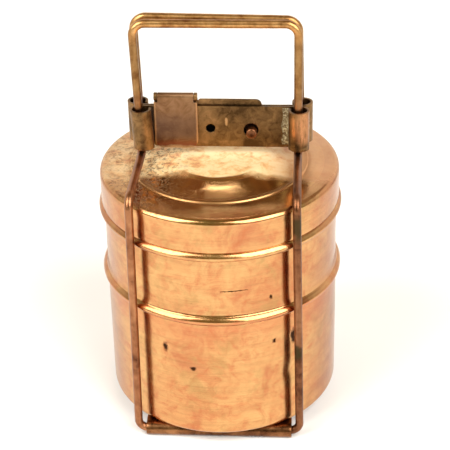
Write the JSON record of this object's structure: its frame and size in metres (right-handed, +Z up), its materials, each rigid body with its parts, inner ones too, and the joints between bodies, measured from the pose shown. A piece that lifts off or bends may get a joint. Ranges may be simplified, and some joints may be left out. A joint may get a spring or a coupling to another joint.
{
  "type": "tiffin carrier",
  "caption": "Stacked brass food carrier: round nesting containers under a shallow domed lid, held by two hinged wire bails that meet in a carrying handle with a clasp.",
  "frame": {"origin": "centre of the base on the table, under the stack's axis", "axes": "+Z up along the stack, X along the handle bar and the hinges, -Y the side with the hasp"},
  "size_m": [0.1404, 0.1404, 0.2422],
  "materials": {
    "polished_brass": "polished, brushed, lightly stained",
    "wire_brass": "worn drawn wire with brown patina",
    "clasp_brass": "dark brown patina",
    "worn_brass": "worn sheet with brown patina",
    "solder": "matt grey soft solder"
  },
  "bodies": {
    "base": {"base_plate": "worn_brass"},
    "front_frame": {"front_bail": "wire_brass", "front_clasp_plate": "clasp_brass", "solder_front_left": "solder", "solder_front_right": "solder"},
    "rear_frame": {"rear_bail": "wire_brass", "rear_clasp_plate": "clasp_brass", "solder_rear_left": "solder", "solder_rear_right": "solder", "locking_stud": "wire_brass", "hasp_pin": "wire_brass"},
    "hasp": {"hasp_flap": "clasp_brass"},
    "lower_tier": {"lower_container": "polished_brass"},
    "upper_tier": {"upper_container": "polished_brass"},
    "cover": {"lid": "polished_brass"}
  },
  "joints": [
    {"name": "front_bail_swing", "type": "hinge", "parent": "base", "child": "front_frame", "pos_m": [0, -0.056, 0.0042], "axis": [1, 0, 0], "range_deg": [0, 90]},
    {"name": "rear_bail_swing", "type": "hinge", "parent": "base", "child": "rear_frame", "pos_m": [0, 0.056, 0.0042], "axis": [-1, 0, 0], "range_deg": [0, 90]},
    {"name": "hasp_flip", "type": "hinge", "parent": "rear_frame", "child": "hasp", "pos_m": [-0.02355, -0.0008, 0.1943], "axis": [-1, 0, 0], "range_deg": [0, 210]},
    {"name": "lower_container_lift", "type": "slide", "parent": "base", "child": "lower_tier", "axis": [0, 0, 1], "range_m": [0, 0.005]},
    {"name": "upper_container_lift", "type": "slide", "parent": "base", "child": "upper_tier", "axis": [0, 0, 1], "range_m": [0, 0.02]},
    {"name": "lid_lift", "type": "slide", "parent": "base", "child": "cover", "axis": [0, 0, 1], "range_m": [0, 0.05]}
  ],
  "couplings": [
    {"joint": "rear_bail_swing", "follows": "front_bail_swing", "ratio": 1},
    {"joint": "lower_container_lift", "follows": "front_bail_swing", "m_per_rad": 0.00318},
    {"joint": "upper_container_lift", "follows": "front_bail_swing", "m_per_rad": 0.01273},
    {"joint": "lid_lift", "follows": "front_bail_swing", "m_per_rad": 0.03183}
  ]
}
